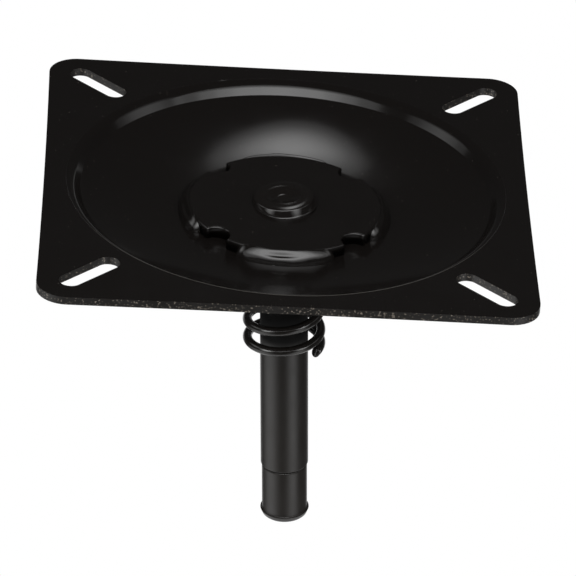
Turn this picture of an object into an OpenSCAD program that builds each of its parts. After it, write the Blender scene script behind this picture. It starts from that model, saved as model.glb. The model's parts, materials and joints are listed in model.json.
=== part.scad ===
// Seat mount: a pressed square plate on a sprung pin that turns in the top of a seat post.
// Millimetres. The origin is on the pin's axis at the foot of the upper sleeve's bearing wall, and +Z
// points up the pin. The plate leans on the pin by the rake angle, so its +X side is the low one.

/* [Plate] */
// Side of the square plate
plate_w = 177.8; // [150:1:230]
// Thickness of the sheet
plate_t = 3; // [2:0.1:4]
// Radius of the plate's corners
corner_r = 11; // [5:0.5:16]
// How far the middle of each side is drawn in by the pressing
side_bow = 0.45; // [0.1:0.05:1]
// Angle between the plate and a plane square to the pin
rake = 3.6; // [0:0.1:6]

/* [Dish] */
// Flat border left between the dish and the middle of a side
dish_margin = 7; // [6:0.1:16]
// Radius of the top face where the border bends down into the dish
lip_bend_r = 6.5; // [4.5:0.1:8]
// Slope of the step inside the lip
step_slope = 48; // [30:1:60]
// Length of the straight part of that step
step_len = 2.7; // [1:0.1:6]
// Radius of the top face in the crease at the foot of the step
crease_bend_r = 1.2; // [0.8:0.1:4]
// Slope of the bowl at the crease
bowl_slope = 20; // [12:0.5:24]
// Slope of the bowl where it runs out onto the flat floor
floor_slope = 5.8; // [3:0.1:8]
// Radius of the bend between the bowl and the floor
floor_bend_r = 30; // [10:1:40]

/* [Slots] */
// Width of a bolt slot
slot_w = 8.4; // [6:0.1:10.5]
// Length of a bolt slot from end to end
slot_len = 26.8; // [16:0.1:28]
// Distance from the plate's sides to the middle of a slot
slot_inset = 18.6; // [17.5:0.1:22]

/* [Hub] */
// Radius of the hub's flange
hub_r = 35.5; // [29.5:0.5:43]
// Thickness of the flange
hub_t = 4.4; // [3:0.1:7]
// Chamfer round the flange's top
flange_edge = 0.6; // [0.2:0.1:1]
// Radius of the half-round notches in the flange between the weld beads
notch_r = 4.9; // [2:0.1:6]
// Flat floor of the dish left round the flange
floor_margin = 1; // [0.5:0.1:4]
// Radius of the neck below the plate
neck_r = 11.6; // [10:0.1:14]
// Length of the neck below the plate
neck_len = 13; // [8:0.5:20]
// Gap round the neck in the plate's centre hole
neck_gap = 0.5; // [0.3:0.1:1]

/* [Welds] */
// Number of weld beads round the hub
weld_count = 4; // [2:1:4]
// Angle that each bead spans about the hub
weld_span = 60; // [20:1:62]
// Radius of the round bead
weld_r = 4.6; // [3.8:0.1:5]
// How far the middle of the bead lies outside the hub
weld_out = 0.2; // [0.1:0.1:3]
// Height of the middle of the bead above the floor of the dish
weld_up = 0.7; // [0.1:0.1:1]
// Depth of the middle of the ball that slopes the bead's ends: more makes them gentler
weld_run_out = 10; // [4:1:20]

/* [Pin] */
// Radius of the pin
pin_r = 7.5; // [6:0.1:8]
// Height from the lower end of the pin to the underside of the dish
pin_drop = 127; // [105:0.1:160]
// Chamfer on the pin's lower end
pin_chamfer = 1; // [0.3:0.1:2]
// Outside radius of the swaged head
head_r = 12.3; // [11:0.1:14]
// Radius of the round ring of the head
head_ring_r = 3.3; // [2.5:0.1:3.6]
// Height of the head above the flange
head_h = 3.4; // [2.5:0.1:4.5]
// Height of the dimple's floor above the flange
dimple_h = 0.6; // [0.4:0.1:1.5]

/* [Sleeves] */
// Outside radius of the upper sleeve, which bears in the post
sleeve_r = 8.95; // [8.6:0.01:9.3]
// Outside radius of the lower sleeve
lower_r = 8.53; // [8.3:0.01:8.9]
// Length of the lower sleeve
lower_len = 21.8; // [15:0.1:30]
// Gap between the two sleeves
groove_gap = 0.6; // [0.3:0.1:2]
// How far the lip stands out from the lower sleeve
lip_out = 0.65; // [0.3:0.01:0.7]
// Height of the lip's edge above the end of the sleeve
lip_h = 2.1; // [1.5:0.1:4]
// Radius of the sleeves' edges
sleeve_edge = 0.4; // [0.2:0.05:0.6]
// Clearance of the sleeves and the hub round the pin
pin_fit = 0.03; // [0.01:0.01:0.1]

/* [Spring] */
// Diameter of the spring's wire
wire_d = 3.5; // [2.5:0.1:4]
// Clearance between the neck and the spring
spring_fit = 0.3; // [0.25:0.05:0.6]
// Height from the lower end of the pin to the middle of the wire's lower end
spring_low = 74.6; // [55:0.1:90]
// Number of open turns
open_turns = 4.1; // [2:0.1:6]
// Direction in which the lower end of the wire lies, from +X
wire_end_angle = -30; // [-180:1:180]

/* [Hidden] */
$fn = 96;

half_w = plate_w / 2;
slot_at = half_w - slot_inset;

// The section of the dish follows its top face inward from the lip: a round bend, a straight step, a
// crease, the long curve of the bowl and a last bend onto the floor. Each bend has a centre, and the
// underside has the same centres with the sheet's thickness added to or taken off the radius.
lip_r = half_w - dish_margin;
floor_r = hub_r + floor_margin;
lip_centre = [lip_r, -lip_bend_r];
step_top = lip_centre + lip_bend_r * [-sin(step_slope), cos(step_slope)];
step_foot = step_top - step_len * [cos(step_slope), sin(step_slope)];
crease_centre = step_foot + crease_bend_r * [-sin(step_slope), cos(step_slope)];
bowl_top = crease_centre + crease_bend_r * [sin(bowl_slope), -cos(bowl_slope)];
bowl_foot_r = floor_r + floor_bend_r * sin(floor_slope);
bowl_bend_r = (bowl_top[0] - bowl_foot_r) / (sin(bowl_slope) - sin(floor_slope));
bowl_centre = bowl_top + bowl_bend_r * [-sin(bowl_slope), cos(bowl_slope)];
bowl_foot = bowl_centre + bowl_bend_r * [sin(floor_slope), -cos(floor_slope)];
floor_centre = bowl_foot + floor_bend_r * [-sin(floor_slope), cos(floor_slope)];
dish_depth = floor_bend_r - floor_centre[1];

// Points along a bend whose middle is above the sheet, from one slope to another
function hollow_bend(centre, r, from, to, n) =
    [for (i = [0:n]) let (a = from + (to - from) * i / n) centre + r * [sin(a), -cos(a)]];
// Points along a bend whose middle is below the sheet
function round_bend(centre, r, from, to, n) =
    [for (i = [0:n]) let (a = from + (to - from) * i / n) centre + r * [-sin(a), cos(a)]];
// One face of the dish: drop is 0 for the top face and the sheet's thickness for the underside
function dish_face(drop) = concat(
    round_bend(lip_centre, lip_bend_r - drop, 0, step_slope, 6),
    hollow_bend(crease_centre, crease_bend_r + drop, step_slope, bowl_slope, 4),
    hollow_bend(bowl_centre, bowl_bend_r + drop, bowl_slope, floor_slope, 14),
    hollow_bend(floor_centre, floor_bend_r + drop, floor_slope, 0, 3)
);
function reversed(list) = [for (i = [len(list) - 1:-1:0]) list[i]];

// Heights up the pin from its lower end
hub_low = pin_drop - neck_len;
hub_high = pin_drop + (plate_t + hub_t) / cos(rake);
sleeve_low = lower_len + groove_gap;
origin_up = sleeve_low + sleeve_edge;
sleeve_high = hub_low - 0.3;
neck_hole_r = neck_r + neck_gap;
bore_r = pin_r + pin_fit;
beyond = 60;

// The wire: a closed turn at each end and open turns between them, with the same pitch throughout
coil_r = neck_r + spring_fit + wire_d / 2;
closed_pitch = wire_d + 1.6;
// The spring's top stays clear of the leaning underside of the plate
spring_top_clearance = 0.3;
spring_high = pin_drop - (coil_r + wire_d / 2) * tan(rake) - spring_top_clearance - wire_d / 2;
open_pitch = (spring_high - spring_low - 2 * closed_pitch) / open_turns;
spring_turns = open_turns + 2;
wire_steps = 28;
wire_sides = 12;
function wire_height(turn) =
    spring_low
    + closed_pitch * min(turn, 1)
    + open_pitch * min(max(turn - 1, 0), open_turns)
    + closed_pitch * max(turn - 1 - open_turns, 0);
// One ring of points round the wire, square to its run within a few degrees
function wire_ring(turn) = [
    for (k = [0:wire_sides - 1])
        let (a = wire_end_angle + 360 * turn, b = 360 * k / wire_sides)
        let (r = coil_r + wire_d / 2 * cos(b))
        [r * cos(a), r * sin(a), wire_height(turn) + wire_d / 2 * sin(b)]
];

// Places its children on the pin: their origin is the pin's lower end
module on_pin() {
    translate([0, 0, -origin_up])
        children();
}

// Places its children on the plate: their origin is the middle of the plate's flat top
module on_plate() {
    on_pin()
        translate([0, 0, pin_drop])
            rotate([0, rake, 0])
                translate([0, 0, dish_depth + plate_t])
                    children();
}

// The plate's outline: four shallow arcs between the rounded corners
module plate_outline() {
    straight = half_w - corner_r;
    steps = 8;
    side = [for (i = [0:steps]) let (q = 2 * i / steps - 1) [q * straight, half_w - side_bow * (1 - q * q)]];
    polygon([for (turn = [0:3], p = side) [
        p[0] * cos(90 * turn) + p[1] * sin(90 * turn),
        p[1] * cos(90 * turn) - p[0] * sin(90 * turn)
    ]]);
    for (x = [-straight, straight], y = [-straight, straight])
        translate([x, y])
            circle(r = corner_r);
}

// A round-ended slot along X
module slot_outline() {
    run = slot_len - slot_w;
    square([run, slot_w], center = true);
    for (x = [-run / 2, run / 2])
        translate([x, 0])
            circle(d = slot_w);
}

module top_plate() {
    color("#161514")
        on_plate() {
            difference() {
                translate([0, 0, -plate_t])
                    linear_extrude(plate_t)
                        plate_outline();
                translate([0, 0, -plate_t - 1])
                    cylinder(r = lip_r, h = plate_t + 2);
                for (turn = [0:3])
                    rotate(45 + 90 * turn)
                        translate([slot_at * sqrt(2), 0, -plate_t - 1])
                            linear_extrude(plate_t + 2)
                                slot_outline();
            }
            rotate_extrude()
                polygon(concat(
                    dish_face(0),
                    [[neck_hole_r, -dish_depth], [neck_hole_r, -dish_depth - plate_t]],
                    reversed(dish_face(plate_t))
                ));
        }
}

// The flange with no notches, from the depth that is given up to its top
module flange(depth) {
    rotate_extrude()
        polygon([
            [0, -depth],
            [hub_r, -depth],
            [hub_r, hub_t - dish_depth - flange_edge],
            [hub_r - flange_edge, hub_t - dish_depth],
            [0, hub_t - dish_depth]
        ]);
}

module hub() {
    color("#1a1918")
        difference() {
            union() {
                on_plate()
                    difference() {
                        flange(dish_depth);
                        for (i = [0:weld_count - 1])
                            rotate(90 + 360 * (i + 0.5) / weld_count)
                                translate([hub_r, 0, -dish_depth - 1])
                                    cylinder(r = notch_r, h = hub_t + 2);
                    }
                on_pin()
                    translate([0, 0, hub_low])
                        cylinder(r = neck_r, h = neck_len + plate_t + hub_t / 2);
            }
            on_pin()
                translate([0, 0, hub_low - 1])
                    cylinder(r = bore_r, h = beyond);
        }
}

// One bead: a round ring of weld that laps over the flange's edge, kept where a large ball about the
// bead's middle holds it, so that its ends run out in a slope, with the flange and the dish cut out of it
module weld_bead() {
    middle_r = hub_r + weld_out;
    reach = 2 * middle_r * sin(weld_span / 4);
    difference() {
        intersection() {
            translate([0, 0, weld_up - dish_depth])
                rotate_extrude()
                    translate([middle_r, 0])
                        circle(r = weld_r);
            translate([middle_r, 0, -dish_depth - weld_run_out])
                sphere(r = norm([reach, weld_run_out]));
        }
        flange(beyond);
        rotate_extrude()
            polygon(concat(dish_face(0), [[0, -dish_depth], [0, -beyond], [lip_r, -beyond]]));
    }
}

module weld_beads() {
    color("#1c1b1a")
        on_plate()
            for (i = [0:weld_count - 1])
                rotate(90 + 360 * i / weld_count)
                    weld_bead();
}

module pin() {
    ring_at = head_r - head_ring_r;
    ring_z = head_h - head_ring_r;
    color("#1a1918") {
        on_pin()
            rotate_extrude()
                polygon([
                    [0, 0],
                    [pin_r - pin_chamfer, 0],
                    [pin_r, pin_chamfer],
                    [pin_r, hub_high],
                    [0, hub_high]
                ]);
        difference() {
            on_pin()
                translate([0, 0, hub_high]) {
                    translate([0, 0, ring_z])
                        rotate_extrude()
                            translate([ring_at, 0])
                                circle(r = head_ring_r);
                    translate([0, 0, -hub_t / 2])
                        cylinder(r = ring_at, h = hub_t / 2 + dimple_h);
                    translate([0, 0, -hub_t / 2])
                        cylinder(r = head_r, h = hub_t / 2 + ring_z);
                }
            on_plate()
                translate([0, 0, hub_t - dish_depth - beyond])
                    cylinder(r = hub_r, h = beyond);
        }
    }
}

// Points round an outer edge of a sleeve, from its side to its end face; up is 1 at the top end
function sleeve_corner(r, z, up) =
    [for (i = [0:4]) let (a = 22.5 * i) [r - sleeve_edge * (1 - cos(a)), z - up * sleeve_edge * (1 - sin(a))]];

module upper_sleeve() {
    color("#35322f")
        on_pin()
            rotate_extrude()
                polygon(concat(
                    [[bore_r, sleeve_high], [bore_r, sleeve_low]],
                    reversed(sleeve_corner(sleeve_r, sleeve_low, -1)),
                    sleeve_corner(sleeve_r, sleeve_high, 1)
                ));
}

module lower_sleeve() {
    tip_r = lower_r + lip_out;
    lip_top = lip_h + 0.15;
    cove = lip_out * 0.85;
    nose_edge = 0.5;
    lip_face = [for (i = [0:4]) let (a = 22.5 * i) [lower_r + cove * (1 - sin(a)), lip_top + cove * (1 - cos(a))]];
    color("#35322f")
        on_pin()
            rotate_extrude()
                polygon(concat(
                    [[bore_r, lower_len], [bore_r, 0], [lower_r - nose_edge, 0], [lower_r, nose_edge]],
                    [[tip_r, lip_h]],
                    lip_face,
                    sleeve_corner(lower_r, lower_len, 1)
                ));
}

module spring() {
    rings = floor(spring_turns * wire_steps);
    points = [for (i = [0:rings]) each wire_ring(spring_turns * i / rings)];
    sides = [
        for (i = [0:rings - 1], k = [0:wire_sides - 1])
            let (a = i * wire_sides, m = (k + 1) % wire_sides)
            [a + k, a + m, a + wire_sides + m, a + wire_sides + k]
    ];
    first = [for (k = [wire_sides - 1:-1:0]) k];
    last = [for (k = [0:wire_sides - 1]) rings * wire_sides + k];
    color("#141312")
        on_pin()
            polyhedron(points, concat(sides, [first, last]), convexity = 10);
}

top_plate();
hub();
weld_beads();
pin();
upper_sleeve();
lower_sleeve();
spring();
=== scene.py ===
# %% [markdown]
# # A seat mount: a pressed steel plate on a sprung pin
#
# A camper's or a boat's seat is bolted to the square plate, and the pin below it turns in the top of a
# post. Everything is black: a dipped steel plate and hub, moulded bearing sleeves on the pin and a coil
# spring that carries the weight. This lesson dresses the exact CAD model of the part. The CAD gives the
# sizes and the motion. Blender gives the surfaces: rounded edges, weld beads, wire and paint.

import json
import math

import bmesh
import bpy
from mathutils import Matrix, Vector, noise


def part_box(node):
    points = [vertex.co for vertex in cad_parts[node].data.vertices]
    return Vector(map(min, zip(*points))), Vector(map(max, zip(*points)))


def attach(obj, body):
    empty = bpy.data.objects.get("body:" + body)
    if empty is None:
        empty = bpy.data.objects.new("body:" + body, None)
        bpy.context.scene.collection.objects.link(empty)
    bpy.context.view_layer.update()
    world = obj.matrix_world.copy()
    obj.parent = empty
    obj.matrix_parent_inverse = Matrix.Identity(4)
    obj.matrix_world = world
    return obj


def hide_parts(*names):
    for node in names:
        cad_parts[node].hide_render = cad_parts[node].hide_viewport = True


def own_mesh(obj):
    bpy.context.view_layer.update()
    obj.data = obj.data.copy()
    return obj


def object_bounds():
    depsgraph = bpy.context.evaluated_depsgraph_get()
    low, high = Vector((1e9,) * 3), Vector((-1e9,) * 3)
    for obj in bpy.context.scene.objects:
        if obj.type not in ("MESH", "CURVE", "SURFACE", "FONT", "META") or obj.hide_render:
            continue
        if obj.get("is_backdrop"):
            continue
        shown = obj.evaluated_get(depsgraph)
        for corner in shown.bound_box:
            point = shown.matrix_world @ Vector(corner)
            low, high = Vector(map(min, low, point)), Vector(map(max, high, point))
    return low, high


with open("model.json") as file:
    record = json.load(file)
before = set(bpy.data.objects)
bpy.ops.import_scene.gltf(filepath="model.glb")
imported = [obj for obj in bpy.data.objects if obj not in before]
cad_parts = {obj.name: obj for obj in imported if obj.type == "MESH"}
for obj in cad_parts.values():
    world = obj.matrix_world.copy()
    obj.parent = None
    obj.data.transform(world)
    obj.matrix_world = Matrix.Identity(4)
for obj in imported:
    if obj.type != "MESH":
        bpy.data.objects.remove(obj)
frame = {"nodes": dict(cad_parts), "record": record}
cad_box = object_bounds()
print("CAD nodes:", ", ".join(sorted(frame["nodes"])))

# %% [markdown]
# ## Two places to model from
#
# The plate leans 3.6 degrees on the pin, so modelling everything in one upright space would mean slanted
# numbers everywhere. Two matrices solve that. Pieces on the plate are modelled with the plate flat and
# its top at height 0. Pieces on the pin are modelled with the pin's lower end at height 0. Both are
# modelled in millimetres, and the matrix carries them into the frame, which is in metres.

# %% The plate's place and the pin's place
MM = 0.001

seat_face = next(m for m in frame["record"]["mounts"] if m["name"] == "seat_face")
lean = math.atan2(seat_face["axis"][0], seat_face["axis"][2])
plate_place = Matrix.Translation(seat_face["pos_m"]) @ Matrix.Rotation(lean, 4, "Y")
pin_place = Matrix.Translation((0, 0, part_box("pin")[0].z))
print(f"the plate leans {math.degrees(lean):.2f} degrees")

# %% [markdown]
# ## The camera
#
# The photograph was taken from a little above, far away with a long lens, so the plate's sides look
# almost parallel. The eye and the point it looks at are written in the plate's space, because the
# plate's corners are what the camera was matched to. A small roll turns the picture.

# %% Camera
eye = Vector((-71.51, -1566.20, 877.72))
aim = Vector((3.75, 9.25, -49.85))
roll = math.radians(4.054)
sensor_mm = 36.0
focal_pixels = 4917.36
picture_pixels = 576

camera_data = bpy.data.cameras.new("camera")
camera_data.sensor_width = sensor_mm
camera_data.lens = focal_pixels / picture_pixels * sensor_mm
camera_data.clip_start = 0.05
camera_data.clip_end = 50
camera = bpy.data.objects.new("camera", camera_data)
bpy.context.scene.collection.objects.link(camera)
bpy.context.scene.camera = camera
look = (aim - eye).to_track_quat("-Z", "Y").to_matrix().to_4x4()
look = look @ Matrix.Rotation(roll, 4, "Z")
turn_only = plate_place.to_3x3().to_4x4()
camera.matrix_world = Matrix.Translation(plate_place @ (eye * MM)) @ turn_only @ look
bpy.context.view_layer.update()
print(f"lens {camera_data.lens:.1f} mm")

# %% [markdown]
# ## Colour and nodes
#
# Colours are written as sRGB hex values, as a paint chart gives them. The shader wants linear light, so
# one function converts them. One more small function adds a shader node with its settings and links.

# %% Helpers for materials
def paint(hex_text):
    """Linear RGBA from an sRGB hex value such as 1b1a19."""
    linear = []
    for i in (0, 2, 4):
        c = int(hex_text[i:i + 2], 16) / 255
        linear.append(c / 12.92 if c <= 0.04045 else ((c + 0.055) / 1.055) ** 2.4)
    return (*linear, 1.0)


def add(tree, kind, inputs=(), **settings):
    """Adds one node. inputs is a dict from a socket's name or number to a value or to another socket."""
    made = tree.nodes.new(kind)
    for name, value in settings.items():
        setattr(made, name, value)
    for name, value in dict(inputs).items():
        if isinstance(value, bpy.types.NodeSocket):
            tree.links.new(value, made.inputs[name])
        else:
            made.inputs[name].default_value = value
    return made


def new_material(name):
    """An empty material, its node tree and the Object coordinates that its patterns read."""
    material = bpy.data.materials.new(name)
    material.use_nodes = True
    tree = material.node_tree
    tree.nodes.clear()
    place = add(tree, "ShaderNodeTexCoord").outputs["Object"]
    return material, tree, place


def grain(millimetres):
    """The Scale of a noise whose lumps are about this far apart."""
    return 1 / (millimetres * MM)


# %% [markdown]
# ## Dip-coated steel
#
# The plate, hub and pin are steel under a thin black dip coat that was baked on. It gives a dark, rather
# glossy skin: almost no colour of its own, a clear but soft reflection, faint orange peel, and settled
# dust that shows as tiny pale specks. The base colour stays nearly black, and a slow noise varies the
# gloss, so that large flat areas don't look like glass.

# %% Material: dip-coated steel
def dip_coat(name, colour, dusty, gloss, peel_mm, peel_height_mm, speck_share):
    """Black baked coat. gloss is the roughness at the shiny and the dull places."""
    material, tree, place = new_material(name)
    cloud = add(tree, "ShaderNodeTexNoise", {"Vector": place, "Scale": grain(14), "Detail": 3.0})
    peel = add(tree, "ShaderNodeTexNoise", {"Vector": place, "Scale": grain(peel_mm), "Detail": 2.0})
    dust = add(tree, "ShaderNodeTexNoise", {"Vector": place, "Scale": grain(0.7), "Detail": 1.0})
    specks = add(
        tree, "ShaderNodeMapRange",
        {"Value": dust.outputs["Fac"], "From Min": speck_share, "From Max": speck_share + 0.05},
    )
    skin = add(
        tree, "ShaderNodeMix",
        {"Factor": specks.outputs["Result"], 6: paint(colour), 7: paint(dusty)},
        data_type="RGBA",
    )
    rough = add(
        tree, "ShaderNodeMapRange",
        {"Value": cloud.outputs["Fac"], "From Min": 0.3, "From Max": 0.7,
         "To Min": gloss[0], "To Max": gloss[1]},
    )
    bump = add(
        tree, "ShaderNodeBump",
        {"Height": peel.outputs["Fac"], "Distance": peel_height_mm * MM, "Strength": 1.0},
    )
    shader = add(
        tree, "ShaderNodeBsdfPrincipled",
        {"Base Color": skin.outputs[2], "Roughness": rough.outputs["Result"], "IOR": 1.5,
         "Normal": bump.outputs["Normal"]},
    )
    add(tree, "ShaderNodeOutputMaterial", {"Surface": shader.outputs["BSDF"]})
    return material


coated_steel = dip_coat("black_dip_coated_steel", "100e0d", "5a5550", (0.10, 0.13), 1.6, 0.001, 0.78)
sheared_edge = dip_coat("coated_sheared_edge", "161412", "6f685f", (0.32, 0.50), 0.8, 0.030, 0.63)
coated_weld = dip_coat("dip_coated_weld", "100e0d", "5a5550", (0.10, 0.16), 2.6, 0.02, 0.80)
# The lip's material carries a painted highlight, a lighter colour at the front, faded in further down.
lip_painted_highlight = dip_coat("lip_edge_painted_highlight", "100e0d", "6f685f", (0.30, 0.42), 1.6, 0.001, 0.75)
print("coated steel, sheared edge, weld and lip are made")

# %% [markdown]
# The lip's edge gets a painted highlight at the front: a lighter colour that stands in for the thin bright
# line of light along the front lip. It is mixed in by the place along the plate, so that the line fades out
# at both sides.

# %% Fade the painted highlight in on the lip's front edge
tree = lip_painted_highlight.node_tree
shader = next(n for n in tree.nodes if n.type == "BSDF_PRINCIPLED")
coat_colour = shader.inputs["Base Color"].links[0].from_socket
parts = add(
    tree, "ShaderNodeSeparateXYZ", {0: add(tree, "ShaderNodeTexCoord").outputs["Object"]}
)
# Painted highlight: full at the front of the lip, gone by the middle of the plate.
painted_highlight_mask = add(
    tree, "ShaderNodeMapRange",
    {"Value": parts.outputs["Y"], "From Min": -78 * MM, "From Max": -32 * MM, "To Min": 1.0, "To Max": 0.0},
)
painted_highlight = add(
    tree, "ShaderNodeMix", {"Factor": painted_highlight_mask.outputs[0], 6: coat_colour, 7: paint("42403c")},
    data_type="RGBA",
)
tree.links.new(painted_highlight.outputs[2], shader.inputs["Base Color"])
# The print reports the painted highlight on the lip's front edge.
print("the lip is rubbed at the front")

# %% [markdown]
# ## Moulded bearing plastic
#
# The two sleeves are a dark grey engineering plastic, acetal or nylon, moulded with a satin skin. It
# scatters a little light of its own and its reflection is broad and soft. Fine noise stands for the
# mould's texture. Inside the spring the long sleeve gets painted shade: above a set height its colour
# goes nearly black and its roughness high, standing in for the shade of the coils on it.

# %% Material: moulded sleeve plastic
sleeve_plastic, tree, place = new_material("moulded_bearing_plastic")
mould = add(tree, "ShaderNodeTexNoise", {"Vector": place, "Scale": grain(0.5), "Detail": 2.0})
wipe = add(tree, "ShaderNodeTexNoise", {"Vector": place, "Scale": grain(9), "Detail": 2.0})
satin = add(
    tree, "ShaderNodeMapRange",
    {"Value": wipe.outputs["Fac"], "From Min": 0.3, "From Max": 0.7, "To Min": 0.30, "To Max": 0.38},
)
# Painted shade: from 53 to 57 mm up, inside the spring, the colour turns nearly black (060606) and the
# roughness goes to 0.9.
height = add(tree, "ShaderNodeSeparateXYZ", {0: place})
painted_shade_in_spring = add(
    tree, "ShaderNodeMapRange",
    {"Value": height.outputs["Z"], "From Min": 53.0 * MM, "From Max": 57.0 * MM},
)
skin = add(
    tree, "ShaderNodeMix",
    {"Factor": painted_shade_in_spring.outputs[0], 6: paint("1d1a17"), 7: paint("060606")}, data_type="RGBA",
)
satin = add(
    tree, "ShaderNodeMix", {"Factor": painted_shade_in_spring.outputs[0], 2: satin.outputs[0], 3: 0.9}, data_type="FLOAT"
)
bump = add(
    tree, "ShaderNodeBump",
    {"Height": mould.outputs["Fac"], "Distance": 0.004 * MM, "Strength": 1.0},
)
shader = add(
    tree, "ShaderNodeBsdfPrincipled",
    {"Base Color": skin.outputs[2], "Roughness": satin.outputs[0], "IOR": 1.5,
     "Normal": bump.outputs["Normal"]},
)
add(tree, "ShaderNodeOutputMaterial", {"Surface": shader.outputs["BSDF"]})
print("sleeve plastic is made")

# %% [markdown]
# ## Spring wire
#
# Drawn spring steel with a thin gloss black finish. The reflections on it are short and sharp, so its
# roughness is low, and very fine lines along the wire aren't worth drawing at this size.

# %% Material: black spring wire
spring_wire, tree, place = new_material("black_spring_wire")
film = add(tree, "ShaderNodeTexNoise", {"Vector": place, "Scale": grain(3), "Detail": 2.0})
gloss = add(
    tree, "ShaderNodeMapRange",
    {"Value": film.outputs["Fac"], "From Min": 0.3, "From Max": 0.7, "To Min": 0.12, "To Max": 0.18},
)
bump = add(
    tree, "ShaderNodeBump",
    {"Height": film.outputs["Fac"], "Distance": 0.01 * MM, "Strength": 1.0},
)
shader = add(
    tree, "ShaderNodeBsdfPrincipled",
    {"Base Color": paint("161412"), "Roughness": gloss.outputs["Result"], "IOR": 1.5,
     "Normal": bump.outputs["Normal"]},
)
add(tree, "ShaderNodeOutputMaterial", {"Surface": shader.outputs["BSDF"]})
print("spring wire is made")

# %% [markdown]
# ## Helpers for shapes
#
# Turned and pressed parts are best drawn as a section and swung round an axis. `bend` rolls a section on
# round a centre, as a press rolls sheet round a tool: it names the slope before and after the bend, and
# the operator `spin` works out the points. `swing` turns a finished section into a solid of revolution.
# `finish` moves a piece from its modelling place into the frame, so that its object sits at the origin.

# %% Helpers for shapes
def last_vert(spun):
    """The point that a spin ended on."""
    return next(g for g in spun["geom_last"] if isinstance(g, bmesh.types.BMVert))


def bend(bm, vert, slope_from, slope_to, radius, steps):
    """Rolls the section on from vert, inward and down, from one slope in degrees to another."""
    centre_side = 1 if slope_to < slope_from else -1
    a = math.radians(slope_from)
    centre = vert.co + centre_side * radius * Vector((-math.sin(a), 0, math.cos(a)))
    rolled = bmesh.ops.spin(
        bm, geom=[vert], cent=centre, axis=(0, 1, 0),
        angle=math.radians(slope_from - slope_to), steps=steps,
    )
    return last_vert(rolled)


def run(bm, vert, step):
    """Draws the section straight on from vert."""
    drawn = bmesh.ops.extrude_vert_indiv(bm, verts=[vert])["verts"][0]
    bmesh.ops.translate(bm, verts=[drawn], vec=step)
    return drawn


def swing(bm, steps):
    """Swings everything in bm once round the upright axis and closes the poles."""
    bmesh.ops.spin(
        bm, geom=bm.verts[:] + bm.edges[:], cent=(0, 0, 0), axis=(0, 0, 1),
        angle=2 * math.pi, steps=steps, use_merge=True,
    )
    bmesh.ops.remove_doubles(bm, verts=bm.verts[:], dist=0.0005)
    bmesh.ops.recalc_face_normals(bm, faces=bm.faces[:])


def finish(bm, name, place, materials, body, node):
    """Makes the piece an object in the frame that rides on a body and stands for a CAD node."""
    bmesh.ops.transform(bm, matrix=place @ Matrix.Scale(MM, 4), verts=bm.verts[:])
    mesh = bpy.data.meshes.new(name)
    bm.to_mesh(mesh)
    bm.free()
    mesh.shade_smooth()
    for material in materials:
        mesh.materials.append(material)
    piece = bpy.data.objects.new(name, mesh)
    bpy.context.scene.collection.objects.link(piece)
    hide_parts(node)
    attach(piece, body)
    print(f"{name}: {len(mesh.polygons)} faces")
    return piece


def weigh_normals(piece):
    """Lets the large faces keep their own shading, so that flats stay flat beside small bevels."""
    weigh = piece.modifiers.new("large_faces_first", "WEIGHTED_NORMAL")
    weigh.weight = 80
    weigh.keep_sharp = True


# %% [markdown]
# ## The plate
#
# A 3 mm sheet, 178 mm square, with a wide dish pressed into it and a bolt slot in each corner. It could
# be carved with booleans, but a sheet is simpler as one surface that gets its thickness last. First the
# dish: its section is bent like the real sheet, lip, step, crease, bowl and floor, and swung round. Then
# the flat border: the outline, four slots and the dish's rim are closed loops, and a fill joins them.

# %% The dish's section
half_side = 88.895
sheet = 3.0
corner_r = 11.0
side_bow = 0.45
lip_r = 80.68
hub_r = 35.5
floor_r = hub_r + 1.0
lip_break, step_slope, bowl_slope, floor_slope = 16.0, 48.0, 20.0, 5.8
floor_bend_r = 30.0
round_steps = 192

break_r = 1.6

dish = bmesh.new()
rim = dish.verts.new((lip_r, 0, 0))
lip_edge = bend(dish, rim, 0, lip_break, break_r, 5)
crease = Vector((lip_r - break_r * math.tan(math.radians(lip_break / 2)), 0, 0))
break_end = lip_edge.co.x
step_top = bend(dish, lip_edge, lip_break, step_slope, 7.0, 12)
slant = math.radians(step_slope)
step_foot = run(dish, step_top, 2.7 * Vector((-math.cos(slant), 0, -math.sin(slant))))
bowl_top = bend(dish, step_foot, step_slope, bowl_slope, 1.2, 6)
bowl_foot_r = floor_r + floor_bend_r * math.sin(math.radians(floor_slope))
bowl_bend_r = (bowl_top.co.x - bowl_foot_r) / (
    math.sin(math.radians(bowl_slope)) - math.sin(math.radians(floor_slope))
)
bowl_foot = bend(dish, bowl_top, bowl_slope, floor_slope, bowl_bend_r, 22)
floor_edge = bend(dish, bowl_foot, floor_slope, 0, floor_bend_r, 5)
dish_depth = -floor_edge.co.z
centre_hole_r = 12.1
run(dish, floor_edge, (centre_hole_r - floor_edge.co.x, 0, 0))
swing(dish, round_steps)

# The press broke the lip crisply at the back and left it rounder towards the front.
for v in dish.verts:
    out = v.co.xy.length
    if break_end - 0.01 < out < lip_r - 0.01:
        towards_front = max(0.0, min(1.0, (0.10 - v.co.y / out) / 0.35))
        roundness = 0.05 + 0.95 * towards_front
        flat_way = Vector((v.co.x, v.co.y, 0)) / out
        corner = flat_way * crease.x
        v.co = corner + (v.co - corner) * roundness
print(f"the dish is {dish_depth:.2f} mm deep")

# %% [markdown]
# The outline starts as a four-sided circle, which is a square. Bevelling its corners rounds them, and
# its sides are drawn in by half a millimetre, because pressing the dish pulls them. A slot is a circle
# whose two halves are moved apart. The fill leaves long thin triangles, so an inset lays one neat ring
# of faces along every edge, which the bevel needs later.

# %% The flat border
def bowed(point, straight):
    """How far a side is drawn in at a point along it."""
    along = min(1.0, abs(point) / straight)
    return side_bow * (1 - along * along)


slot_w, slot_len = 8.4, 26.8
slot_middle = (half_side - 18.6) * math.sqrt(2)

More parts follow.
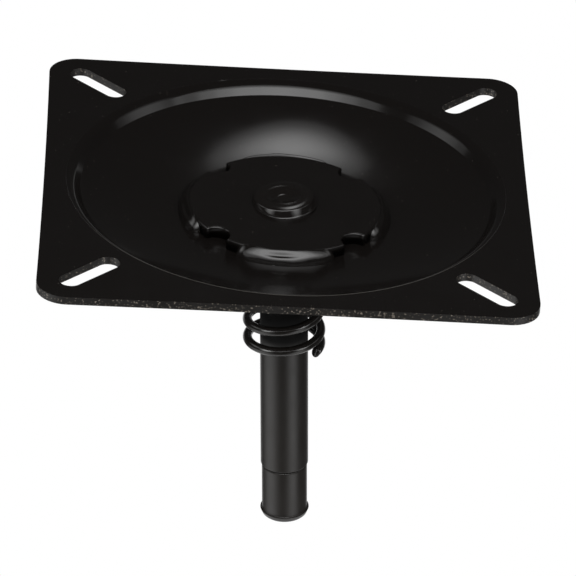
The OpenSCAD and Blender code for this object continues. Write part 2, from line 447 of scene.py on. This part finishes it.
plate = bmesh.new()
bmesh.ops.create_circle(
    plate, cap_ends=True, radius=half_side * math.sqrt(2), segments=4,
    matrix=Matrix.Rotation(math.radians(45), 4, "Z"),
)
bmesh.ops.bevel(
    plate, geom=plate.verts[:], offset=corner_r, offset_type="OFFSET", segments=10, profile=0.5,
    affect="VERTICES", material=-1,
)
bmesh.ops.delete(plate, geom=plate.faces[:], context="FACES_ONLY")
sides = [e for e in plate.edges if e.calc_length() > corner_r * 2]
bmesh.ops.subdivide_edges(plate, edges=sides, cuts=31)
straight = half_side - corner_r
for v in plate.verts:
    x, y = v.co.x, v.co.y
    if abs(abs(y) - half_side) < 0.01:
        v.co.y -= math.copysign(bowed(x, straight), y)
    if abs(abs(x) - half_side) < 0.01:
        v.co.x -= math.copysign(bowed(y, straight), x)
outline = plate.edges[:]

slot_segments = 48
for turn in range(4):
    slot_loop = bmesh.ops.create_circle(
        plate, radius=slot_w / 2, segments=slot_segments,
        matrix=Matrix.Rotation(math.pi / slot_segments, 4, "Z"),
    )["verts"]
    for v in slot_loop:
        v.co.x += math.copysign((slot_len - slot_w) / 2, v.co.x)
    out_to_corner = Matrix.Rotation(math.radians(45 + 90 * turn), 4, "Z")
    bmesh.ops.transform(
        plate, matrix=out_to_corner @ Matrix.Translation((slot_middle, 0, 0)), verts=slot_loop
    )
bmesh.ops.create_circle(plate, radius=lip_r, segments=round_steps)
bmesh.ops.triangle_fill(
    plate, use_beauty=True, use_dissolve=False, edges=plate.edges[:], normal=(0, 0, 1)
)
bmesh.ops.inset_region(
    plate, faces=plate.faces[:], use_boundary=True, use_even_offset=True, thickness=1.0
)
print(f"the border has {len(plate.faces)} faces")

# %% [markdown]
# The dish is joined to the border, and `solidify` gives the sheet its thickness downwards. A bevel of a
# third of a millimetre breaks the edges of the outline and the slots. The outside band and the walls of
# the slots were sheared by the press tool, so they are rougher and get a material of their own. A third
# one is for the lip's edge, which carries a painted highlight at the front.

# %% Join, thicken and break the edges
dish_mesh = bpy.data.meshes.new("dish_section")
dish.to_mesh(dish_mesh)
dish.free()
plate.from_mesh(dish_mesh)
bpy.data.meshes.remove(dish_mesh)
bmesh.ops.remove_doubles(plate, verts=plate.verts[:], dist=0.01)
for face in plate.faces:
    face.normal_update()
    if face.normal.z < 0:
        face.normal_flip()
bmesh.ops.solidify(plate, geom=plate.faces[:], thickness=sheet)
plate.normal_update()
sharp = [
    e for e in plate.edges
    if len(e.link_faces) == 2 and e.calc_face_angle() > math.radians(60)
    and min(v.co.xy.length for v in e.verts) > lip_r
]
bmesh.ops.bevel(
    plate, geom=sharp, offset=0.35, offset_type="OFFSET", segments=3, profile=0.5,
    affect="EDGES", material=-1, clamp_overlap=True,
)
plate.normal_update()
for face in plate.faces:
    out = face.calc_center_median().xy.length
    if abs(face.normal.z) < 0.6 and out > lip_r + 1:
        face.material_index = 1
    # The faces of the lip's bend get the material with the painted highlight.
    elif break_end < out < lip_r and 0.9 < face.normal.z < 0.9999:
        face.material_index = 2
top_plate = finish(
    plate, "pressed_plate", plate_place, [coated_steel, sheared_edge, lip_painted_highlight],
    "mount", "top_plate",
)
weigh_normals(top_plate)

# %% [markdown]
# ## The hub
#
# A forged disc lies in the dish and is welded to it, and its neck runs down through the plate. The disc
# has a half-round notch between each two welds. Its outline is drawn by two spins, one round the hub and
# one round each notch, then filled, pushed up and bevelled.

# %% Hub flange with its notches
flange_t = 4.4
notch_r = 4.9
notch_half = 2 * math.degrees(math.asin(notch_r / (2 * hub_r)))

hub = bmesh.new()
start = math.radians(-45 + notch_half)
pen = hub.verts.new((hub_r * math.cos(start), hub_r * math.sin(start), -dish_depth))
for turn in range(4):
    swept = bmesh.ops.spin(
        hub, geom=[pen], cent=(0, 0, 0), axis=(0, 0, 1),
        angle=math.radians(90 - 2 * notch_half), steps=40,
    )
    pen = last_vert(swept)
    at = math.radians(45 + 90 * turn)
    notch_centre = (hub_r * math.cos(at), hub_r * math.sin(at), -dish_depth)
    swept = bmesh.ops.spin(
        hub, geom=[pen], cent=notch_centre, axis=(0, 0, 1),
        angle=math.radians(notch_half - 180), steps=16,
    )
    pen = last_vert(swept)
bmesh.ops.remove_doubles(hub, verts=hub.verts[:], dist=0.01)
print(f"hub outline: {len(hub.verts)} points")

# %% Push the flange up and bevel its edge
underside = bmesh.ops.contextual_create(hub, geom=hub.edges[:])["faces"]
pushed = bmesh.ops.extrude_face_region(hub, geom=underside, use_keep_orig=True)
top_verts = [g for g in pushed["geom"] if isinstance(g, bmesh.types.BMVert)]
bmesh.ops.translate(hub, verts=top_verts, vec=(0, 0, flange_t))
bmesh.ops.recalc_face_normals(hub, faces=hub.faces[:])
top_edge = [e for e in hub.edges if all(abs(v.co.z + dish_depth - flange_t) < 0.01 for v in e.verts)]
bmesh.ops.bevel(
    hub, geom=top_edge, offset=0.6, offset_type="OFFSET", segments=3, profile=0.5,
    affect="EDGES", material=-1, clamp_overlap=True,
)

# %% [markdown]
# The neck hangs upright on the pin, not square to the plate. It is a plain turned tube, so its section
# is a rectangle of four points with the corners broken, swung round the pin.

# %% Neck of the hub
neck_r, neck_len, bore_r = 11.6, 13.0, 7.53
pin_drop = 127.0
neck_low = pin_drop - neck_len
neck_high = pin_drop + sheet + flange_t / 2
neck = bmesh.new()
pen = neck.verts.new((bore_r, 0, neck_low))
pen = run(neck, pen, (neck_r - bore_r, 0, 0))
corner = pen
pen = run(neck, pen, (0, 0, neck_high - neck_low))
pen = run(neck, pen, (bore_r - neck_r, 0, 0))
neck.edges.new((pen, neck.verts[:][0]))
bmesh.ops.bevel(
    neck, geom=[corner], offset=0.5, offset_type="OFFSET", segments=4, profile=0.5,
    affect="VERTICES", material=-1,
)
swing(neck, 96)
neck_mesh = bpy.data.meshes.new("neck")
to_plate_mm = Matrix.Scale(1 / MM, 4) @ plate_place.inverted() @ pin_place @ Matrix.Scale(MM, 4)
bmesh.ops.transform(neck, matrix=to_plate_mm, verts=neck.verts[:])
neck.to_mesh(neck_mesh)
neck.free()
hub.from_mesh(neck_mesh)
bpy.data.meshes.remove(neck_mesh)
hub_piece = finish(
    hub, "welded_hub", plate_place, [coated_steel], "mount", "hub"
)
weigh_normals(hub_piece)

# %% [markdown]
# ## The weld beads
#
# Four beads hold the hub. A bead is a rope of metal that flowed over the edge of the disc, froze with a
# slanted, slightly domed face and ends bluntly. The thick coat has filled its ripples, so only slow lumps
# are left. Each bead is a ring of points spun round the hub, and every ring along it is then swelled or
# shrunk by seeded noise, so that no two beads are alike.

# %% Weld beads
toe_r, root_r, root_z = 39.2, 35.6, -1.2
weld_span = math.radians(60)
bead_rings = 150


def swell(along, seed):
    """The bead's size at a place along it, from -1 to 1: full until it ends bluntly, a little uneven."""
    run_out = (1 - abs(along) ** 9) ** 0.5
    lumps = noise.noise(Vector((along * 2.4, seed * 7.1, 0.3)))
    return run_out * (1 + 0.03 * lumps - 0.06 * max(0.0, along) ** 2)


def add_bead(bm, turn, seed, dent_at):
    """One bead whose middle is at turn. Its section goes from the toe up the face and over the crest."""
    before = set(bm.verts)
    toe = bm.verts.new((toe_r, 0, -0.2))
    pen = bend(bm, toe, -74, -60, 13.0, 10)
    pen = bend(bm, pen, -60, -44, 5.5, 8)
    pen = bend(bm, pen, -44, -36, 10.5, 6)
    pen = bend(bm, pen, -36, 60, 0.35, 6)
    pen = run(bm, pen, (-1.2, 0, -2.4))
    pen = run(bm, pen, (root_r - 2.5 - pen.co.x, 0, root_z - pen.co.z))
    pen = run(bm, pen, (toe_r - 0.4 - pen.co.x, 0, 0))
    bm.edges.new((pen, toe))
    section = [v for v in bm.verts if v not in before]
    bmesh.ops.rotate(
        bm, verts=section, cent=(0, 0, 0), matrix=Matrix.Rotation(turn - weld_span / 2, 3, "Z")
    )
    section_edges = list({e for v in section for e in v.link_edges})
    spun = bmesh.ops.spin(
        bm, geom=section + section_edges, cent=(0, 0, 0), axis=(0, 0, 1), angle=weld_span,
        steps=bead_rings,
    )
    last_edges = [g for g in spun["geom_last"] if isinstance(g, bmesh.types.BMEdge)]
    bmesh.ops.contextual_create(bm, geom=section_edges)
    bmesh.ops.contextual_create(bm, geom=last_edges)
    for v in [v for v in bm.verts if v not in before]:
        angle = math.atan2(v.co.y, v.co.x) - turn
        angle = (angle + math.pi) % (2 * math.pi) - math.pi
        along = max(-1.0, min(1.0, angle / (weld_span / 2)))
        outward = Vector((math.cos(turn + angle), math.sin(turn + angle), 0))
        root = outward * root_r + Vector((0, 0, root_z))
        arm = v.co - root
        across = math.degrees(math.atan2(arm.z, arm.dot(outward)))
        lump = noise.noise(Vector((v.co.x / 6, v.co.y / 6, arm.z / 6 + seed * 9.7)))
        dent = math.exp(-((along - dent_at) / 0.34) ** 2 - ((across - 72) / 11) ** 2)
        size = swell(along, seed) * (1 + 0.03 * lump - 0.10 * dent)
        v.co = root + arm * max(size, 0.02)
        v.co.z -= dish_depth


welds = bmesh.new()
for i, dent_at in enumerate((-0.5, 0.4, -0.1, 0.3)):
    add_bead(welds, math.radians(90 + 90 * i), i + 1, dent_at)
bmesh.ops.recalc_face_normals(welds, faces=welds.faces[:])
weld_piece = finish(
    welds, "weld_ropes", plate_place, [coated_weld], "mount", "weld_beads"
)

# %% [markdown]
# ## The pin
#
# A bar pressed up through the hub, whose end was struck until it swelled into a low button with a steep
# wall, a soft shoulder, two fine ridges and a shallow dimple. It is one turned section, drawn from the
# shaft's end, up the shaft, out under the head, over its wall and ridges, and down into the dimple.

# %% Pin with its swaged head
pin_r, pin_chamfer = 7.5, 1.0
hub_top = pin_drop + (sheet + flange_t) / math.cos(lean)
head_r = 12.3

pin = bmesh.new()
pen = pin.verts.new((0, 0, 0))
pen = run(pin, pen, (pin_r - pin_chamfer, 0, 0))
pen = run(pin, pen, (pin_chamfer, 0, pin_chamfer))
pen = run(pin, pen, (0, 0, hub_top - 1.2 - pin_chamfer))
pen = run(pin, pen, (head_r - pin_r, 0, 0))
pen = run(pin, pen, (0, 0, hub_top - pen.co.z))
pen = bend(pin, pen, -20, -72, 0.8, 6)
pen = bend(pin, pen, -72, -64, 16.3, 6)
pen = bend(pin, pen, -64, -14, 0.6, 8)
pen = bend(pin, pen, -14, 0, 11.0, 8)
pen = run(pin, pen, (-0.6, 0, 0))
pen = bend(pin, pen, 0, -34, 0.3, 5)
pen = bend(pin, pen, -34, 24, 0.4, 8)
pen = bend(pin, pen, 24, -20, 0.3, 6)
pen = bend(pin, pen, -20, 20, 0.3, 6)
pen = run(pin, pen, (-3.2, 0, -3.2 * math.tan(math.radians(20))))
pen = bend(pin, pen, 20, 0, 3.0, 6)
pen = run(pin, pen, (-pen.co.x, 0, 0))
print(f"the pin's head reaches {max(v.co.z for v in pin.verts) - hub_top:.2f} mm over the hub")
swing(pin, 160)
pin_piece = finish(pin, "swaged_pin", pin_place, [coated_steel], "mount", "pin")
weigh_normals(pin_piece)

# %% [markdown]
# ## The sleeves
#
# Two moulded sleeves fill the gap between the pin and the post. The long one bears in the post's top.
# The short one has a thin lip near its end that scrapes the tube, and a steep chamfer at its top that
# draws a light line below the gap. Both are turned sections again, and the long one's corners are rounded
# by a vertex bevel before the swing.

# %% Upper sleeve
sleeve_r, lower_r, lower_len = 8.95, 8.53, 21.8
groove = 0.6
sleeve_low = lower_len + groove
sleeve_high = neck_low - 0.3
edge_round = 0.4

upper = bmesh.new()
pen = upper.verts.new((bore_r, 0, sleeve_low))
foot = run(upper, pen, (sleeve_r - bore_r, 0, 0))
head = run(upper, foot, (0, 0, sleeve_high - sleeve_low))
end = run(upper, head, (bore_r - sleeve_r, 0, 0))
upper.edges.new((end, pen))
bmesh.ops.bevel(
    upper, geom=[foot, head], offset=edge_round, offset_type="OFFSET", segments=5, profile=0.5,
    affect="VERTICES", material=-1,
)
swing(upper, round_steps)
upper_piece = finish(
    upper, "long_sleeve", pin_place, [sleeve_plastic], "mount", "upper_sleeve"
)
weigh_normals(upper_piece)

# %% Lower sleeve with its lip
lip_out, lip_h, nose = 0.65, 2.1, 0.5

lower = bmesh.new()
pen = lower.verts.new((bore_r, 0, 0))
first = pen
pen = run(lower, pen, (lower_r - nose - bore_r, 0, 0))
pen = run(lower, pen, (nose, 0, nose))
pen = run(lower, pen, (lip_out, 0, lip_h - nose))
pen = run(lower, pen, (0, 0, 0.15))
pen = run(lower, pen, (-0.1, 0, 0.02))
cove_r = lip_out - 0.1
rolled = bmesh.ops.spin(
    lower, geom=[pen], cent=(lower_r + cove_r, 0, pen.co.z + cove_r), axis=(0, 1, 0),
    angle=math.radians(90), steps=6,
)
pen = last_vert(rolled)
chamfer_in, chamfer_up = 0.35, 0.60
pen = run(lower, pen, (0, 0, lower_len - chamfer_up - pen.co.z))
head = run(lower, pen, (-chamfer_in, 0, chamfer_up))
end = run(lower, head, (bore_r - head.co.x, 0, 0))
lower.edges.new((end, first))
swing(lower, round_steps)
lower_piece = finish(
    lower, "short_sleeve", pin_place, [sleeve_plastic], "mount", "lower_sleeve"
)
weigh_normals(lower_piece)

# %% [markdown]
# ## The spring
#
# Round wire, closed at both ends and open between them. A curve with a bevel would do, but here the
# spring is a mesh, so a ring of wire is spun up the coil. Each short spin climbs by the pitch at that
# turn, and the pitch eases from closed to open over half a turn. The lower end was cut on the slant by
# the coiling machine.

# %% Spring
wire_r = 1.75
coil_r = neck_r + 0.3 + wire_r
spring_low = 74.6
open_turns = 4.1
closed_pitch = 2 * wire_r + 1.6
spring_high = pin_drop - (coil_r + wire_r) * math.tan(lean) - 0.3 - wire_r
open_pitch = (spring_high - spring_low - 2 * closed_pitch) / open_turns
wire_start = math.radians(-30)
parts_per_turn = 64
ease = 0.12


def pitch_at(turn):
    """Rise per turn: closed at the ends, open between, and eased where they meet."""
    into = min(1.0, max(0.0, (turn - 1 + ease) / (2 * ease)))
    out_of = min(1.0, max(0.0, (turn - 1 - open_turns + ease) / (2 * ease)))
    opened = into * into * (3 - 2 * into) - out_of * out_of * (3 - 2 * out_of)
    return closed_pitch + (open_pitch - closed_pitch) * opened


coil = bmesh.new()
wire = bmesh.ops.create_circle(
    coil, radius=wire_r, segments=24,
    matrix=Matrix.Translation((coil_r, 0, spring_low)) @ Matrix.Rotation(math.radians(90), 4, "X"),
)["verts"]
bmesh.ops.rotate(coil, verts=wire, cent=(0, 0, 0), matrix=Matrix.Rotation(wire_start, 3, "Z"))
wire_end = wire[:]
first_edges = coil.edges[:]
geom = coil.verts[:] + first_edges
total_parts = round((open_turns + 2) * parts_per_turn)
part_turn = (open_turns + 2) / total_parts
for part in range(total_parts):
    climb = pitch_at((part + 0.5) * part_turn) * part_turn
    geom = bmesh.ops.spin(
        coil, geom=geom, cent=(0, 0, 0), axis=(0, 0, 1), dvec=(0, 0, climb),
        angle=2 * math.pi * part_turn, steps=1,
    )["geom_last"]
for v in wire_end:
    cut_back = math.radians(5) * (1 + (v.co.z - spring_low) / wire_r)
    v.co = Matrix.Rotation(cut_back - math.radians(5), 3, "Z") @ v.co
last_edges = [g for g in geom if isinstance(g, bmesh.types.BMEdge)]
bmesh.ops.contextual_create(coil, geom=first_edges)
bmesh.ops.contextual_create(coil, geom=last_edges)
bmesh.ops.recalc_face_normals(coil, faces=coil.faces[:])
spring = finish(coil, "coil_spring", pin_place, [spring_wire], "spring", "spring")
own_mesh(spring)

# %% [markdown]
# ## The floor and the white ground
#
# The object hangs in front of plain white. The floor lies well below it and shows white to the camera
# and in reflections, while part of it is real diffuse paper that can take a shadow. Seen from below it
# is clear, so that the underside can be looked at.

# %% Floor
floor_mesh = bpy.data.meshes.new("floor")
paper_sheet = bmesh.new()
bmesh.ops.create_circle(
    paper_sheet, cap_ends=True, radius=0.42, segments=96, matrix=Matrix.Translation((0, 0, -0.40))
)
paper_sheet.to_mesh(floor_mesh)
paper_sheet.free()
floor = bpy.data.objects.new("floor", floor_mesh)
bpy.context.scene.collection.objects.link(floor)
floor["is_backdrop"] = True

white_paper, tree, place = new_material("white_paper_floor")
path = add(tree, "ShaderNodeLightPath")
seen = add(
    tree, "ShaderNodeMath",
    {0: path.outputs["Is Camera Ray"], 1: path.outputs["Is Glossy Ray"]}, operation="MAXIMUM",
)
seen = add(
    tree, "ShaderNodeMath",
    {0: seen.outputs[0], 1: path.outputs["Is Transmission Ray"]}, operation="MAXIMUM",
)
glow = add(tree, "ShaderNodeEmission", {"Color": paint("ffffff"), "Strength": seen.outputs[0]})
paper = add(tree, "ShaderNodeBsdfDiffuse", {"Color": paint("f4f4f4")})
both = add(tree, "ShaderNodeMixShader", {"Fac": 0.5, 1: glow.outputs[0], 2: paper.outputs[0]})
under = add(tree, "ShaderNodeNewGeometry")
clear = add(tree, "ShaderNodeBsdfTransparent")
one_sided = add(
    tree, "ShaderNodeMixShader",
    {"Fac": under.outputs["Backfacing"], 1: both.outputs[0], 2: clear.outputs[0]},
)
add(tree, "ShaderNodeOutputMaterial", {"Surface": one_sided.outputs[0]})
floor_mesh.materials.append(white_paper)

# %% [markdown]
# ## The room
#
# A black glossy thing shows the room more than itself. The camera sees pure white. Reflections see a
# white sheet low behind the object and a dim room elsewhere, which is what keeps the plate black and
# its edges crisp. The direction comes from the world's own coordinates.

# %% World
world = bpy.data.worlds.new("room")
bpy.context.scene.world = world
world.use_nodes = True
tree = world.node_tree
tree.nodes.clear()
way = add(tree, "ShaderNodeTexCoord").outputs["Generated"]
parts = add(tree, "ShaderNodeSeparateXYZ", {0: way})
low = add(
    tree, "ShaderNodeMapRange",
    {"Value": parts.outputs["Z"], "From Min": -0.12, "From Max": 0.06, "To Min": 1.0, "To Max": 0.0},
)
behind = add(
    tree, "ShaderNodeMapRange",
    {"Value": parts.outputs["Y"], "From Min": 0.62, "From Max": 0.86, "To Min": 0.08, "To Max": 1.0},
)
backdrop = add(
    tree, "ShaderNodeMath", {0: low.outputs[0], 1: behind.outputs[0]}, operation="MULTIPLY"
)
dim_room = 0.03
backdrop = add(tree, "ShaderNodeMath", {0: backdrop.outputs[0], 1: dim_room}, operation="MAXIMUM")
path = add(tree, "ShaderNodeLightPath")
plain = add(
    tree, "ShaderNodeMath",
    {0: path.outputs["Is Camera Ray"], 1: path.outputs["Is Transmission Ray"]}, operation="MAXIMUM",
)
mirrored = add(
    tree, "ShaderNodeMath",
    {0: path.outputs["Is Glossy Ray"], 1: backdrop.outputs[0]}, operation="MULTIPLY",
)
fill_level = 0.35
fill = add(
    tree, "ShaderNodeMath", {0: path.outputs["Is Diffuse Ray"], 1: fill_level}, operation="MULTIPLY"
)
level = add(tree, "ShaderNodeMath", {0: plain.outputs[0], 1: mirrored.outputs[0]}, operation="MAXIMUM")
level = add(tree, "ShaderNodeMath", {0: level.outputs[0], 1: fill.outputs[0]}, operation="MAXIMUM")
ground = add(tree, "ShaderNodeBackground", {"Color": paint("ffffff"), "Strength": level.outputs[0]})
add(tree, "ShaderNodeOutputWorld", {"Surface": ground.outputs[0]})
print("white ground, dim room in the reflections")

# %% [markdown]
# ## The lamps
#
# Eight soft boxes, as a photographer would hang round a black part. One high behind lights the back of
# the bowl. A wide one over the camera is for the back of the lip and the front bead. Two low ones at the
# front left and right draw the long highlights down the sleeves, and two tall strips above them catch
# the coils and, dimmer, the wall of the pin's head. Two at the sides carry the light on round the lip.
# Each is placed by the direction that its reflection was seen in, and its power comes from the brightness
# wanted in the mirror. The tall strips are flagged off the plate by light linking, or it would mirror them
# from behind and turn white.

# %% Lamps
object_middle = Vector((0, 0, 0.09))
coil_only = bpy.data.collections.new("lit_by_the_bright_strips")
coil_only.objects.link(spring)
head_only = bpy.data.collections.new("lit_by_the_soft_strips")
head_only.objects.link(pin_piece)


def soft_box(name, azimuth, elevation, distance, width, height, brightness, only=None):
    """A softbox that is brightest in the middle: five panels of one shape, the smaller ones nearer.

    Azimuth 0 is behind the camera, 90 is at the right, 180 is behind the object. Width and height
    are the angles that the largest panel fills, seen from the object. only is a collection of the
    pieces that the light reaches, as if it were flagged off the others.
    """
    a, e = math.radians(azimuth), math.radians(elevation)
    away = Vector((math.sin(a) * math.cos(e), -math.cos(a) * math.cos(e), math.sin(e)))
    shares = (1.0, 0.75, 0.6, 0.48, 0.3)
    for i, share in enumerate(shares):
        lamp = bpy.data.lights.new(f"{name}_{i}", "AREA")
        lamp.shape = "ELLIPSE"
        lamp.size = 2 * distance * math.tan(math.radians(width * share / 2))
        lamp.size_y = 2 * distance * math.tan(math.radians(height * share / 2))
        area = math.pi / 4 * lamp.size * lamp.size_y
        lamp.energy = brightness / len(shares) * math.pi * area
        panel = bpy.data.objects.new(f"{name}_{i}", lamp)
        panel.location = object_middle + away * (distance - 0.02 * i)
        panel.rotation_euler = away.to_track_quat("Z", "Y").to_euler()
        panel.visible_camera = False
        if only:
            panel.light_linking.receiver_collection = only
        bpy.context.scene.collection.objects.link(panel)
    print(f"{name}: {width} by {height} degrees, brightness {brightness}")


soft_box("back_box", 174.0, 47, 3.0, 10.5, 22, 3.05)
soft_box("overhead_box", 5.5, 51, 1.2, 118, 52, 4.7)
soft_box("left_box", -70, -32, 0.9, 80, 58, 1.35)
soft_box("right_box", 40, -32, 0.9, 54, 58, 1.45)
for group, brightness in ((coil_only, 6.0), (head_only, 2.6)):
    soft_box("left_strip", -53, 26, 1.0, 40, 60, brightness, only=group)
    soft_box("right_strip", 46, 26, 1.0, 40, 60, brightness, only=group)
soft_box("left_side_box", -94, 32, 1.2, 46, 36, 1.8)
soft_box("right_side_box", 90, 31, 1.2, 40, 34, 1.05)

# %% [markdown]
# ## Last steps
#
# The Standard view transform shows colours as they are written. The two boxes, of the CAD and of what is
# shown, are printed, so that the size can be compared.

# %% View transform, sizes and the end
bpy.context.scene.view_settings.view_transform = "Standard"
shown_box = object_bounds()
for label, box in (("CAD", cad_box), ("shown", shown_box)):
    print(label, [round(c / MM, 2) for corner in box for c in corner])
